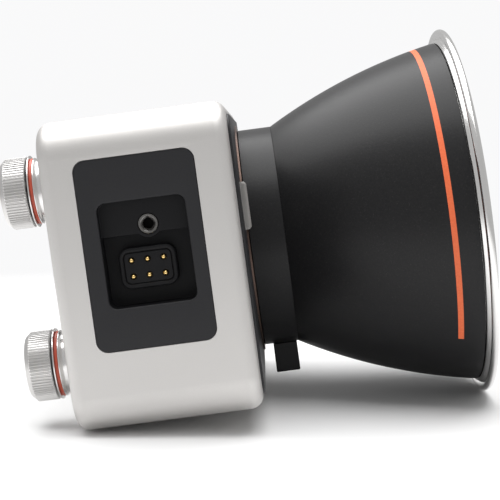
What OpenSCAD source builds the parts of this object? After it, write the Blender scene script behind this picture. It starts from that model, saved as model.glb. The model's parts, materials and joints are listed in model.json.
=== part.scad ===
// Palm-size LED monolight with a bayonet reflector.
// Frame: origin on the optical axis at the bayonet flange, +X out of the reflector,
// -Y out of the docking face, +Z up. Millimetres.

/* [Body] */
// Thickness of the shell along the optical axis
body_w = 45; // [44:1:54]
// Height of the shell
body_h = 74; // [73:1:90]
// Depth of the shell from the docking face to the far end
body_d = 120; // [112:1:144]
// Distance from the docking face to the optical axis
axis_back = 66; // [64:1:72]
// Wall of the shell
wall = 2; // [1.8:0.1:2.2]
// Radius of the shell's corners seen along the optical axis
body_corner_r = 9; // [8:0.5:10]
// Rounding of the shell's front and rear edges
edge_r = 3.2; // [2.5:0.1:3.3]

/* [Front] */
// How far the front plate stands proud of the shell
bezel_proud = 0.6; // [0.4:0.1:0.8]
// How far the bayonet flange stands proud of the front plate
flange_proud = 0.5; // [0.4:0.1:0.8]
// Thickness of the front plate
front_plate_t = 2.5; // [2.4:0.1:2.8]
// Margin between the shell's outline and the front plate
plate_inset = 3.4; // [3.3:0.1:4]
// Radius of the bayonet ring's body
ring_r = 29; // [29:0.1:29.4]
// Radius of the bayonet bore
bayonet_r = 23.85; // [23.7:0.05:24]
// Radius of the groove behind the bayonet lip
groove_r = 25.7; // [25.6:0.1:25.8]

/* [Dock] */
// Width of the dock plate
dock_w = 28.3; // [27:0.1:30]
// Height of the dock plate
dock_h = 45; // [43:0.5:47]
// Distance from the shell's front edge to the middle of the dock plate
dock_back = 22.7; // [22:0.1:23]
// Height of the middle of the dock plate above the optical axis
dock_up = 4.5; // [3:0.5:6]
// Width of the dock recess
recess_w = 20.7; // [20:0.1:22]
// Height of the dock recess
recess_h = 24.8; // [24:0.1:26]
// Depth of the dock recess
recess_depth = 7; // [6.5:0.1:7.5]
// Depth of the upper ledge of the recess
ledge_depth = 3.2; // [3:0.1:3.6]
// Radius of the dock thread's bore
dock_thread_r = 1.25; // [1.2:0.05:1.3]
// Distance between contact pins
pin_pitch = 3.8; // [3.6:0.1:4]
// Radius of a contact pin
pin_r = 0.6; // [0.5:0.05:0.7]

/* [Dials] */
// Radius of a dial's knurled barrel
knob_r = 8.65; // [8:0.05:8.8]
// Length of a dial's knurled barrel
knob_len = 6.5; // [6:0.1:7.5]
// Distance from the docking face to a dial's axis
knob_back = 17; // [16.5:0.5:18]
// Height of a dial's axis above or below the optical axis
knob_up = 21.3; // [21:0.1:22]
// Number of ridges round a dial
knob_ridges = 72; // [48:1:90]
// Travel of a dial when it is pressed
knob_travel = 0.4; // [0.3:0.05:0.45]

/* [Reflector] */
// Radius of the reflector's neck
neck_r = 30.1; // [30.1:0.1:30.8]
// Length of the neck from the bayonet flange
neck_len = 9.3; // [9:0.1:9.3]
// Radius of the black cone at its front end
cone_r = 46.9; // [45.5:0.1:46.9]
// Distance of the cone's front end from the bayonet flange
cone_len = 56.6; // [56.6:0.1:62]
// Outward bow of the cone's side
cone_bow = 2.1; // [2:0.1:2.3]
// Wall of the cone
cone_wall = 1.4; // [1.4:0.1:1.5]
// Radius of the rolled rim
rim_r = 50.4; // [50:0.1:54]
// Angle that the reflector twists to unlock
twist = 40; // [30:1:42]

/* [Cooling] */
// Side of the fan frame
fan_size = 60; // [58:1:60]
// Depth of the fan frame
fan_depth = 10; // [10:0.5:11]
// Number of heat sink fins
fin_count = 15; // [11:2:17]

/* [Hidden] */
$fn = 72;
// Clearances: pieces that slide in each other, pieces that are seated, and drilled holes
run_fit = 0.08;
seat_fit = 0.1;
hole_fit = 0.2;
cut = 1;
// Front group, from the flange backwards
bezel_x = -flange_proud;
shell_front = bezel_x - bezel_proud;
plate_x = bezel_x - front_plate_t;
lip_back = plate_x - 1.8;
// Rear group
shell_back = shell_front - body_w;
rear_in = shell_back + wall;
// Ends of the shell along Y and Z
dock_y = -axis_back;
end_y = body_d - axis_back;
half_h = body_h / 2;
dock_x = shell_front - dock_back;
// Bayonet ring
flange_t = 2;
ring_flange_r = 33;
ring_flange_x = plate_x - flange_t;
lip_t = 2;
groove_x = -4.2;
glass_t = 1.2;
glass_r = 24.9;
glass_x = groove_x - glass_t;
ring_back = glass_x - 1;
aperture_r = 22.5;
lug_angle = 30;
gap_angle = 36;
lugs = [0, 120, 240];
ring_screw_r = 31;
ring_screw_angles = [30, 120, 210, 300];
trim_r = 31.5;
trim_in = ring_r + seat_fit;
// Front plate corner screws
corner_screw = 7;
// Lamp stack behind the glass
holder_r = 21.5;
holder_in = 13.5;
holder_x = -8.2;
holder_t = 2.8;
board_x = holder_x - holder_t;
board_t = 1.6;
led_side = 36;
base_x = board_x - board_t;
base_t = 3;
fin_x = base_x - base_t;
fin_len = 12;
fin_t = 1.2;
sink_side = 58;
fin_end = fin_x - fin_len;
post_at = 26;
post_r = 2.5;
fan_x = fin_end - fan_depth;
fan_bore_r = fan_size / 2 - 1.8;
fan_screw_at = fan_size / 2 - 5;
hub_r = 12.4;
hub_in = 11.3;
shaft_r = 1.5;
blade_count = 9;
// Release latch
latch_y = -39;
latch_z = 10.8;
latch_w = 4.4;
latch_h = 12;
latch_out = 1.1;
latch_travel = 1.4;
latch_flange = 1;
latch_pin_at = 27.3;
latch_pin_r = 0.9;
latch_angle = atan2(latch_z, latch_y);
pin_y = latch_pin_at * cos(latch_angle);
pin_z = latch_pin_at * sin(latch_angle);
arm_x = -9.2;
arm_t = 1.4;
spring_len = latch_travel + 1.8;
bracket_x = arm_x - spring_len;
bracket_t = 1.2;
// Dock
plate_t = 0.9;
plate_sunk = 0.1;
dock_plate_back = dock_y + plate_sunk + plate_t;
dock_r = 2.8;
recess_r = 2;
recess_x = dock_x + 0.4;
recess_z = dock_up - 0.3;
ledge_z = recess_z + 4.3;
cup_wall = 1.2;
floor_y = dock_y + recess_depth;
ledge_y = dock_y + ledge_depth;
cup_back = floor_y + 1.4;
insert_x = dock_x + 1.3;
insert_z = dock_up + 6.1;
insert_r = 2.4;
insert_len = 4.6;
boss_r = 3.2;
block_w = 11.1;
block_h = 7.2;
block_z = 0.5;
block_r = 1.2;
block_y = floor_y - 3;
collar_t = 1.3;
collar_y = floor_y - 3.4;
pin_tip = block_y - 0.9;
pin_len = 2.8;
contact_travel = 0.8;
// Dials
knob_y = dock_y + knob_back;
flange_gap = knob_travel + 0.1;
collar_base = 3;
ring_t = 0.8;
knob_flange_t = 0.35;
knob_flange_r = knob_r + 0.1;
knob_ring_r = knob_r - 0.65;
collar_r = knob_r - 0.55;
ring_x = shell_back - collar_base;
knob_flange_x = ring_x - ring_t;
barrel_x = knob_flange_x - knob_flange_t - flange_gap;
barrel_end = barrel_x - knob_len + 1.1;
cap_x = barrel_x - knob_len;
bush_r = 3.4;
stem_r = 2.6;
encoder_w = 12;
encoder_t = 6;
encoder_x = rear_in + encoder_t;
stem_x = encoder_x - 2.8;
plunger_t = 0.8;
// Control board and display
control_x = encoder_x;
control_t = 1.6;
control_y0 = dock_y + 4;
control_y1 = -fan_size / 2 - 1;
control_h = half_h - 4;
control_screw_y = [control_y0 + 4, control_y1 - 3];
control_screw_z = control_h - 3.5;
boss_hole = 0.8;
display_y = dock_y + 16;
display_w = 20;
display_h = 21;
display_t = 1;
button_y = -34.2;
button_r = 3;
button_travel = 0.5;
button_stem = 2.6;
// Rear grille
grille_r = 27;
// Driver board
driver_y = end_y - wall - 12;
driver_t = 1.6;
driver_h = half_h - 6;
driver_x0 = rear_in + 3;
driver_x1 = -9;
socket_z = 14;
socket_x = -24;
dc_side = 9;
dc_bore = 2.75;
// Vents on the long sides
vent_count = 12;
vent_pitch = 4.4;
vent_x0 = fin_end + 2;
vent_x1 = fin_x - 1;
// Cone and liner arcs
arc_steps = 20;
sleeve_r = neck_r - 1.3;
throat_r = 24.6;
throat_x = 4.4;
liner_wall = 0.8;
liner_end_x = cone_len + 0.3;
liner_end_r = cone_r - cone_wall - 0.2;
liner_bow = 2.2;
tab_x = 2.3;
tab_w = 6.6;
tab_depth = 8;
tab_out = 8;

// Extrusions along each axis from flat outlines: (Y, Z) along X, and (X, Z) along Y.
module slab_x(x0, x1) {
    translate([x0, 0, 0]) rotate([90, 0, 90]) linear_extrude(x1 - x0) children();
}

module slab_y(y0, y1) {
    translate([0, y1, 0]) rotate([90, 0, 0]) linear_extrude(y1 - y0) children();
}

// A rectangle with true round corners, made of two bars and four discs.
module round_rect(a0, a1, b0, b1, r) {
    translate([a0 + r, b0]) square([a1 - a0 - 2 * r, b1 - b0]);
    translate([a0, b0 + r]) square([a1 - a0, b1 - b0 - 2 * r]);
    for (a = [a0 + r, a1 - r], b = [b0 + r, b1 - r]) translate([a, b]) circle(r);
}

module centred_rect(a, b, w, h, r) {
    round_rect(a - w / 2, a + w / 2, b - h / 2, b + h / 2, r);
}

// The shell's outline seen along the optical axis, moved inwards by a margin.
module body_outline(margin, r) {
    round_rect(dock_y + margin, end_y - margin, margin - half_h, half_h - margin, r);
}

module rod_x(x0, x1, r, y = 0, z = 0) {
    translate([x0, y, z]) rotate([0, 90, 0]) cylinder(h = x1 - x0, r = r);
}

module taper_x(x0, x1, r0, r1, y = 0, z = 0) {
    translate([x0, y, z]) rotate([0, 90, 0]) cylinder(h = x1 - x0, r1 = r0, r2 = r1);
}

module rod_y(y0, y1, r, x, z) {
    translate([x, y1, z]) rotate([90, 0, 0]) cylinder(h = y1 - y0, r = r);
}

module tube_x(x0, x1, r_out, r_in, y = 0, z = 0) {
    difference() {
        rod_x(x0, x1, r_out, y, z);
        rod_x(x0 - cut, x1 + cut, r_in, y, z);
    }
}

// A profile of (radius, x) points turned about the optical axis.
module turned(points) {
    rotate([0, 90, 0]) rotate_extrude() polygon(points);
}

// A sector of a ring about the optical axis, centred on an angle from +Y towards +Z.
module ring_sector(x0, x1, r0, r1, middle, width) {
    rotate([middle - width / 2, 0, 0]) rotate([0, 90, 0]) rotate([0, 0, 90])
        rotate_extrude(angle = width) translate([r0, x0]) square([r1 - r0, x1 - x0]);
}

module block(x0, x1, y0, y1, z0, z1) {
    translate([x0, y0, z0]) cube([x1 - x0, y1 - y0, z1 - z0]);
}

module at_polar(r, angle) {
    translate([0, r * cos(angle), r * sin(angle)]) children();
}

// A pan-head screw whose head seats at head_x and whose shank runs forwards.
module screw_forward(head_x, length, r, head_r, head_t) {
    difference() {
        union() {
            rod_x(head_x - head_t, head_x, head_r);
            rod_x(head_x, head_x + length, r);
        }
        block(head_x - head_t - cut, head_x - head_t / 2, -head_r * 0.6, head_r * 0.6, -0.2, 0.2);
        block(head_x - head_t - cut, head_x - head_t / 2, -0.2, 0.2, -head_r * 0.6, head_r * 0.6);
    }
}

// Points of an arc from a to b that bows away from the axis by a given height.
function arc_points(a, b, bow, steps) =
    let (chord = norm(b - a),
         radius = (chord * chord / 4 + bow * bow) / (2 * bow),
         along = (b - a) / chord,
         across = [along[1], -along[0]],
         side = across[0] > 0 ? across : -across,
         centre = (a + b) / 2 - side * (radius - bow),
         half = asin(chord / 2 / radius))
    [for (i = [0 : steps])
        let (t = half * (2 * i / steps - 1)) centre + radius * (side * cos(t) + along * sin(t))];

function reversed(list) = [for (i = [len(list) - 1 : -1 : 0]) list[i]];

// ---- Shell ----

module rounded_body() {
    hull() for (y = [dock_y + body_corner_r, end_y - body_corner_r],
                z = [body_corner_r - half_h, half_h - body_corner_r],
                x = [shell_back + edge_r, shell_front - edge_r])
        translate([x, y, z]) rotate([0, 90, 0])
            rotate_extrude($fn = 48) intersection() {
                translate([body_corner_r - edge_r, 0]) circle(edge_r, $fn = 32);
                translate([0, -edge_r]) square([body_corner_r, 2 * edge_r]);
            }
}

module control_bosses() {
    for (y = control_screw_y, s = [-1, 1])
        tube_x(rear_in - 0.01, control_x, 2.2, boss_hole, y, s * control_screw_z);
}

module corner_positions() {
    for (y = [dock_y + corner_screw, end_y - corner_screw],
         z = [corner_screw - half_h, half_h - corner_screw])
        translate([0, y, z]) children();
}

module body_shell() {
    color("silver") {
        difference() {
            rounded_body();
            slab_x(rear_in, lip_back) body_outline(wall, body_corner_r - wall);
            slab_x(lip_back - cut, plate_x) difference() {
                body_outline(plate_inset + 2, body_corner_r - plate_inset);
                for (y = [dock_y + corner_screw, end_y - corner_screw],
                     z = [corner_screw - half_h, half_h - corner_screw])
                    translate([y, z]) circle(3.2);
            }
            slab_x(plate_x, shell_front + cut)
                body_outline(plate_inset - seat_fit, body_corner_r - plate_inset);
            rod_x(lip_back - cut, plate_x + cut, ring_flange_r + hole_fit);
            corner_positions() rod_x(lip_back - cut, plate_x + cut, boss_hole);
            shell_dock_cuts();
            shell_rear_cuts();
            shell_vents();
            shell_socket_cuts();
        }
        control_bosses();
        driver_rails();
    }
}

module shell_dock_cuts() {
    slab_y(dock_y - cut, dock_plate_back)
        centred_rect(dock_x, dock_up, dock_w + 2 * seat_fit, dock_h + 2 * seat_fit, dock_r + seat_fit);
    slab_y(dock_plate_back - cut, dock_y + wall + cut)
        centred_rect(recess_x, recess_z, recess_w + 2 * cup_wall + 2 * seat_fit,
                     recess_h + 2 * cup_wall + 2 * seat_fit, recess_r + cup_wall);
}

module shell_rear_cuts() {
    for (s = [-1, 1]) rod_x(shell_back - cut, rear_in + cut, bush_r + seat_fit, knob_y, s * knob_up);
    rod_x(shell_back - cut, rear_in + cut, grille_r + seat_fit);
    rod_x(shell_back - cut, rear_in + cut, button_r + run_fit, button_y, 0);
    slab_x(shell_back - cut, shell_back + display_t)
        centred_rect(display_y, 0, display_w + 2 * seat_fit, display_h + 2 * seat_fit, 2);
    slab_x(shell_back, rear_in + cut)
        centred_rect(display_y, 0, display_w - 3, display_h - 3, 1);
}

module shell_vents() {
    for (i = [0 : vent_count - 1])
        let (y = (i - (vent_count - 1) / 2) * vent_pitch)
            block(vent_x0, vent_x1, y - 0.8, y + 0.8, -half_h - cut, half_h + cut);
}

module shell_socket_cuts() {
    rod_y(end_y - wall - cut, end_y + cut, dc_bore + 0.6, socket_x, -socket_z);
    slab_y(end_y - wall - cut, end_y + cut)
        centred_rect(socket_x, socket_z, 9.1, 3.4, 1.65);
}

// Four ribs on the end wall carry the driver board.
module driver_rails() {
    for (s = [-1, 1], x = [driver_x0 + 4, driver_x1 - 4])
        translate([x, 0, s * (driver_h - 4)]) rotate([0, 0, 0])
            difference() {
                rod_y(driver_y + driver_t, end_y - wall + 0.01, 2.4, 0, 0);
                rod_y(driver_y + driver_t - cut, driver_y + 8, boss_hole, 0, 0);
            }
}

// ---- Front ----

module front_plate() {
    color([0.09, 0.09, 0.1]) difference() {
        slab_x(plate_x, bezel_x) body_outline(plate_inset, body_corner_r - plate_inset);
        rod_x(plate_x - cut, cut, ring_r + seat_fit / 2);
        rod_x(bezel_x - 0.6, cut, trim_r + seat_fit);
        block(plate_x - cut, cut, latch_y - latch_w / 2 - run_fit, latch_y + latch_w / 2 + run_fit,
              latch_z - latch_h / 2 - run_fit, latch_z + latch_h / 2 + run_fit);
        corner_positions() {
            rod_x(plate_x - cut, cut, 1.1);
            taper_x(bezel_x - 1, bezel_x + 0.1, 1.1, 2.1);
        }
        for (a = ring_screw_angles) at_polar(ring_screw_r, a)
            rod_x(plate_x - cut, plate_x + 1.7, boss_hole);
    }
}

module front_trim_ring() {
    color([0.45, 0.3, 0.22]) tube_x(bezel_x - 0.6, 0, trim_r, trim_in);
}

module bayonet_ring() {
    color([0.12, 0.12, 0.13]) difference() {
        union() {
            rod_x(ring_back, 0, ring_r);
            rod_x(ring_flange_x, plate_x, ring_flange_r);
        }
        rod_x(-lip_t - cut, cut, bayonet_r);
        rod_x(groove_x, -lip_t, groove_r);
        rod_x(glass_x, groove_x + cut, glass_r + seat_fit);
        rod_x(ring_back - cut, glass_x + cut, aperture_r);
        for (a = lugs)
            ring_sector(-lip_t - cut, cut, bayonet_r - cut, groove_r - 0.1, a + twist, gap_angle);
        at_polar(latch_pin_at, latch_angle) rod_x(ring_back - cut, cut, latch_pin_r + run_fit);
        for (a = ring_screw_angles) at_polar(ring_screw_r, a)
            rod_x(ring_flange_x - cut, plate_x + cut, boss_hole + seat_fit);
    }
}

module bayonet_screws() {
    color([0.3, 0.3, 0.32]) for (a = ring_screw_angles) at_polar(ring_screw_r, a)
        screw_forward(ring_flange_x, flange_t + 1.5, boss_hole - 0.05, 1.5, 1.1);
}

module front_plate_screws() {
    color([0.2, 0.2, 0.21]) corner_positions() difference() {
        union() {
            taper_x(bezel_x - 1, bezel_x - 0.05, 1, 1.9);
            rod_x(plate_x, bezel_x - 1, 1);
            rod_x(lip_back - 0.6, plate_x, boss_hole - 0.05);
        }
        block(bezel_x - 0.6, cut, -1.1, 1.1, -0.18, 0.18);
        block(bezel_x - 0.6, cut, -0.18, 0.18, -1.1, 1.1);
    }
}

// ---- Lamp ----

module cover_glass() {
    color([0.75, 0.85, 0.9, 0.5]) rod_x(glass_x, groove_x, glass_r);
}

module led_screw_positions() {
    for (y = [-1, 1], z = [-1, 1]) translate([0, y * 12.2, z * 12.2]) children();
}

module led_holder() {
    color([0.85, 0.85, 0.82]) difference() {
        rod_x(board_x, holder_x, holder_r);
        rod_x(board_x - cut, holder_x + cut, holder_in);
        led_screw_positions() rod_x(board_x - cut, holder_x + cut, boss_hole + seat_fit);
    }
}

module led_emitter() {
    color([0.95, 0.8, 0.25]) rod_x(board_x, board_x + 0.8, holder_in - 0.8);
}

module led_board() {
    color([0.75, 0.5, 0.35]) difference() {
        slab_x(base_x, board_x) centred_rect(0, 0, led_side, led_side, 1.5);
        led_screw_positions() rod_x(base_x - cut, board_x + cut, boss_hole + seat_fit);
    }
}

module led_screws() {
    color([0.7, 0.7, 0.72]) led_screw_positions() mirror([1, 0, 0])
        screw_forward(-holder_x, holder_t + board_t + 2, boss_hole - 0.05, 1.4, 1);
}

module sink_corner(at) {
    for (y = [-at, at], z = [-at, at]) translate([0, y, z]) children();
}

module heat_sink() {
    pitch = (sink_side - fin_t) / (fin_count - 1);
    color([0.7, 0.71, 0.73]) difference() {
        union() {
            slab_x(fin_x, base_x) centred_rect(0, 0, sink_side, sink_side, 2);
            for (i = [0 : fin_count - 1])
                block(fin_end, fin_x + 0.01, i * pitch - sink_side / 2,
                      i * pitch - sink_side / 2 + fin_t, 2 - sink_side / 2, sink_side / 2 - 2);
        }
        sink_corner(post_at) {
            rod_x(fin_x - cut, base_x + cut, 1.1);
            rod_x(fin_end - cut, fin_x, 3.4);
        }
        led_screw_positions() rod_x(base_x - 2.5, base_x + cut, boss_hole);
    }
}

module heat_sink_posts() {
    color([0.8, 0.8, 0.82]) sink_corner(post_at) difference() {
        rod_x(base_x, plate_x, post_r);
        rod_x(base_x - cut, base_x + 6, boss_hole + 0.1);
    }
}

module heat_sink_screws() {
    color([0.6, 0.6, 0.62]) sink_corner(post_at) screw_forward(fin_x, base_t + 4, 0.85, 1.8, 1.3);
}

// ---- Fan ----

module fan_frame() {
    color([0.1, 0.1, 0.11]) difference() {
        union() {
            difference() {
                slab_x(fan_x, fin_end) centred_rect(0, 0, fan_size, fan_size, 3);
                rod_x(fan_x - cut, fin_end + cut, fan_bore_r);
            }
            rod_x(fan_x, fan_x + 1.2, hub_r);
            for (a = [45, 165, 285]) rotate([a, 0, 0])
                block(fan_x, fan_x + 1.2, hub_r - 1, fan_bore_r + 0.6, -1.4, 1.4);
            rod_x(fan_x + 1, fan_x + 7, 3);
        }
        rod_x(fan_x - cut, fan_x + 8, shaft_r + run_fit);
        sink_corner(fan_screw_at) rod_x(fan_x - cut, fin_end + cut, 1.6);
    }
}

module fan_stator() {
    color([0.7, 0.4, 0.2]) difference() {
        tube_x(fan_x + 1.3, fan_x + 6, 10.4, 3.05);
        for (a = [0 : 60 : 300]) rotate([a, 0, 0]) block(fan_x, fan_x + 7, 6.5, 12, -0.8, 0.8);
    }
}

module fan_rotor() {
    color([0.16, 0.16, 0.18]) {
        difference() {
            rod_x(fan_x + 2, fin_end - 1, hub_r);
            rod_x(fan_x + 1, fan_x + 7.4, hub_in);
        }
        rod_x(fan_x + 0.4, fan_x + 7.5, shaft_r);
        difference() {
            intersection() {
                for (i = [0 : blade_count - 1]) rotate([i * 360 / blade_count, 0, 0])
                    translate([fan_x + 5.6, 0, 0]) rotate([0, 40, 0]) translate([-0.5, hub_r - 0.6, -4.6])
                        cube([1, fan_bore_r, 9.2]);
                rod_x(fan_x + 1.9, fin_end - 1, fan_bore_r - 0.9);
            }
            rod_x(fan_x, fin_end, hub_r - 0.5);
        }
    }
}

module fan_screws() {
    color([0.6, 0.6, 0.62]) sink_corner(fan_screw_at)
        screw_forward(fan_x, fan_depth + 0.0, 1.3, 2.4, 1.5);
}

module rear_grille() {
    color([0.07, 0.07, 0.08]) difference() {
        rod_x(shell_back + 0.2, rear_in, grille_r);
        for (i = [-6 : 6]) let (reach = sqrt(pow(grille_r - 2, 2) - pow(i * 3.6 + 1, 2)))
            block(shell_back - cut, rear_in + cut, i * 3.6 - 1, i * 3.6 + 1, 1.2, max(2, reach));
        for (i = [-6 : 6]) let (reach = sqrt(pow(grille_r - 2, 2) - pow(i * 3.6 + 1, 2)))
            block(shell_back - cut, rear_in + cut, i * 3.6 - 1, i * 3.6 + 1, -max(2, reach), -1.2);
    }
}

// ---- Release latch ----

module latch_button() {
    color([0.42, 0.4, 0.38]) {
        hull() {
            slab_x(0, latch_out - 0.6) centred_rect(latch_y, latch_z, latch_w, latch_h, 0.6, $fn = 32);
            slab_x(0, latch_out) centred_rect(latch_y, latch_z, latch_w - 1, latch_h - 1.2, 0.5, $fn = 32);
        }
        block(plate_x - 0.2, 0.01, latch_y - latch_w / 2, latch_y + latch_w / 2,
              latch_z - latch_h / 2, latch_z + latch_h / 2);
        block(plate_x - 0.2 - latch_flange, plate_x - 0.2, latch_y - latch_w / 2 - 1,
              latch_y + latch_w / 2 + 1, latch_z - latch_h / 2 - 1, latch_z + latch_h / 2 + 1);
        block(arm_x + arm_t, plate_x - 0.2, latch_y - 1.5, latch_y + 1.5, latch_z - 3, latch_z + 3);
    }
}

module latch_pin_plate() {
    color([0.75, 0.75, 0.76]) {
        block(arm_x, arm_x + arm_t, latch_y - 2, pin_y + 1.4, pin_z - 2.4, latch_z + 3);
        rod_x(arm_x, latch_out - 0.2, latch_pin_r, pin_y, pin_z);
    }
}

module latch_spring() {
    color([0.8, 0.8, 0.82]) tube_x(bracket_x, arm_x, 1.9, 1.3, latch_y, latch_z);
}

module latch_bracket() {
    z0 = latch_z - latch_h / 2 - 1.6;
    z1 = latch_z + latch_h / 2 + 1.6;
    color([0.6, 0.6, 0.62]) {
        block(bracket_x - bracket_t, bracket_x, latch_y - 3, latch_y + 3, z0 - bracket_t, z1 + bracket_t);
        block(bracket_x - bracket_t, plate_x, latch_y - 3, latch_y + 3, z0 - bracket_t, z0);
        block(bracket_x - bracket_t, plate_x, latch_y - 3, latch_y + 3, z1, z1 + bracket_t);
    }
}

// ---- Dock ----

module recess_outline(grow) {
    centred_rect(recess_x, recess_z, recess_w + 2 * grow, recess_h + 2 * grow, recess_r + grow);
}

module dock_plate() {
    color([0.13, 0.13, 0.14]) slab_y(dock_y + plate_sunk, dock_plate_back) difference() {
        centred_rect(dock_x, dock_up, dock_w, dock_h, dock_r);
        recess_outline(0);
    }
}

module dock_cup() {
    color([0.05, 0.05, 0.055]) difference() {
        slab_y(dock_plate_back, cup_back) recess_outline(cup_wall);
        slab_y(dock_y - cut, floor_y) difference() {
            recess_outline(0);
            translate([recess_x - recess_w, ledge_z]) square([2 * recess_w, recess_h]);
            translate([insert_x, insert_z]) circle(boss_r);
        }
        slab_y(dock_y - cut, ledge_y) recess_outline(0);
        rod_y(ledge_y - cut, ledge_y + insert_len, insert_r, insert_x, insert_z);
        for (i = [-1 : 1], j = [-1, 1])
            rod_y(floor_y - cut, cup_back + cut, 0.5, dock_x + i * pin_pitch, block_z + j * pin_pitch / 2);
    }
}

module dock_thread_insert() {
    color([0.75, 0.75, 0.74]) difference() {
        rod_y(ledge_y - 0.2, ledge_y + insert_len, insert_r, insert_x, insert_z);
        rod_y(ledge_y - cut, ledge_y + insert_len + cut, dock_thread_r, insert_x, insert_z);
        translate([insert_x, ledge_y - 0.2, insert_z]) rotate([-90, 0, 0])
            cylinder(h = 0.5, r1 = dock_thread_r + 0.45, r2 = dock_thread_r);
    }
}

module contact_block() {
    color([0.08, 0.08, 0.085]) difference() {
        slab_y(block_y, floor_y) centred_rect(dock_x, block_z, block_w, block_h, block_r);
        for (i = [-1 : 1], j = [-1, 1])
            rod_y(block_y - cut, pin_tip + pin_len + contact_travel + 0.1, pin_r + run_fit, dock_x + i * pin_pitch,
                  block_z + j * pin_pitch / 2);
    }
}

module contact_collar() {
    color([0.1, 0.1, 0.105]) slab_y(collar_y, floor_y) difference() {
        centred_rect(dock_x, block_z, block_w + 2 * collar_t, block_h + 2 * collar_t, block_r + collar_t);
        centred_rect(dock_x, block_z, block_w + seat_fit, block_h + seat_fit, block_r);
    }
}

module contact_pins() {
    color([0.9, 0.7, 0.3]) for (i = [-1 : 1], j = [-1, 1])
        translate([dock_x + i * pin_pitch, 0, block_z + j * pin_pitch / 2]) {
            rod_y(pin_tip + pin_r, pin_tip + pin_len, pin_r, 0, 0);
            translate([0, pin_tip + pin_r, 0]) sphere(pin_r, $fn = 32);
        }
}

module contact_board() {
    color([0.05, 0.3, 0.15]) slab_y(cup_back, cup_back + 1) centred_rect(dock_x, block_z, 16, 11, 1);
}

// ---- Dials ----

module at_knob(s) {
    translate([0, knob_y, s * knob_up]) children();
}

module knob_collar(s) {
    color([0.78, 0.78, 0.79]) at_knob(s) difference() {
        union() {
            rod_x(ring_x, shell_back, collar_r);
            rod_x(knob_flange_x, ring_x + 0.01, knob_ring_r - 0.8);
            rod_x(knob_flange_x - knob_flange_t, knob_flange_x, knob_flange_r);
        }
        rod_x(knob_flange_x - cut, shell_back + cut, bush_r + seat_fit);
    }
}

module knob_ring(s) {
    color([0.85, 0.35, 0.22]) at_knob(s)
        tube_x(knob_flange_x + 0.02, ring_x - 0.02, knob_ring_r, knob_ring_r - 0.75);
}

// Straight knurl: an outline that steps between the ridge and the groove radius.
function knurl(r, depth, n) = [for (i = [0 : 2 * n - 1])
    let (a = i * 180 / n, q = i % 2 == 0 ? r : r - depth) [q * cos(a), q * sin(a)]];

module knob(s) {
    color([0.75, 0.75, 0.76]) at_knob(s) difference() {
        union() {
            slab_x(barrel_end, barrel_x) polygon(knurl(knob_r, 0.25, knob_ridges));
            taper_x(cap_x, barrel_end + 0.01, knob_r - 1.1, knob_r - 0.32);
        }
        rod_x(cap_x + 1.5, barrel_x + cut, stem_r + 0.02);
        rod_x(barrel_x - 2.5, barrel_x + cut, knob_r - 2.2);
        taper_x(cap_x - 0.01, cap_x + 0.5, knob_r - 2.2, knob_r - 2.8);
    }
}

module encoder(s) {
    color([0.3, 0.3, 0.32]) at_knob(s) difference() {
        union() {
            slab_x(rear_in, encoder_x) centred_rect(0, 0, encoder_w, encoder_w, 0.8);
            rod_x(ring_x + 1, rear_in + 0.01, bush_r);
        }
        rod_x(ring_x, encoder_x - 0.8, stem_r + run_fit);
    }
}

module encoder_shaft(s) {
    color([0.7, 0.7, 0.71]) at_knob(s) rod_x(cap_x + 1.6, stem_x, stem_r);
}

module encoder_plunger(s) {
    color([0.9, 0.9, 0.9]) at_knob(s) rod_x(stem_x, stem_x + plunger_t, stem_r);
}

// ---- Boards ----

module control_board() {
    color([0.05, 0.25, 0.15]) difference() {
        union() {
            slab_x(control_x, control_x + control_t)
                round_rect(control_y0, control_y1, -control_h, control_h, 2);
            block(control_x - 1.2, control_x, display_y - 5, display_y + 5, -5, 5);
            for (z = [-8, 8]) block(control_x - 1, control_x, control_y1 - 9, control_y1 - 6, z - 2, z + 2);
        }
        for (y = control_screw_y, s = [-1, 1])
            rod_x(control_x - cut, control_x + control_t + cut, 1, y, s * control_screw_z);
    }
}

module control_board_screws() {
    color([0.6, 0.6, 0.62]) for (y = control_screw_y, s = [-1, 1])
        translate([control_x + control_t, y, s * control_screw_z]) mirror([1, 0, 0])
            screw_forward(0, 4.5, boss_hole - 0.05, 1.6, 0.9);
}

module display_glass() {
    color([0.03, 0.03, 0.04]) slab_x(shell_back + 0.05, shell_back + display_t)
        centred_rect(display_y, 0, display_w, display_h, 1.9);
}

module display_module() {
    color([0.2, 0.22, 0.25]) union() {
        slab_x(shell_back + display_t, rear_in) centred_rect(display_y, 0, display_w - 3.4, display_h - 3.4, 0.8);
        slab_x(rear_in, rear_in + 1.8) centred_rect(display_y, 0, display_w, display_h, 0.8);
    }
}

module power_button() {
    color([0.12, 0.12, 0.13]) {
        rod_x(shell_back - 0.9, rear_in + 0.5, button_r, button_y, 0);
        rod_x(rear_in + 0.2, rear_in + 1, button_r + 1, button_y, 0);
        rod_x(rear_in, rear_in + button_stem, 1.2, button_y, 0);
    }
}

module power_switch() {
    color([0.35, 0.35, 0.37]) block(rear_in + button_stem + button_travel + 0.3, control_x,
                                   button_y - 2.5, button_y + 2.5, -2.5, 2.5);
}

module driver_board() {
    color([0.05, 0.25, 0.15]) difference() {
        slab_y(driver_y, driver_y + driver_t) round_rect(driver_x0, driver_x1, -driver_h, driver_h, 1.5);
        for (s = [-1, 1], x = [driver_x0 + 4, driver_x1 - 4])
            rod_y(driver_y - cut, driver_y + driver_t + cut, 1, x, s * (driver_h - 4));
    }
}

module driver_inductors() {
    color([0.25, 0.25, 0.27]) for (z = [-9, 9])
        rod_y(driver_y - 6, driver_y, 5.5, socket_x - 5, z);
}

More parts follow.
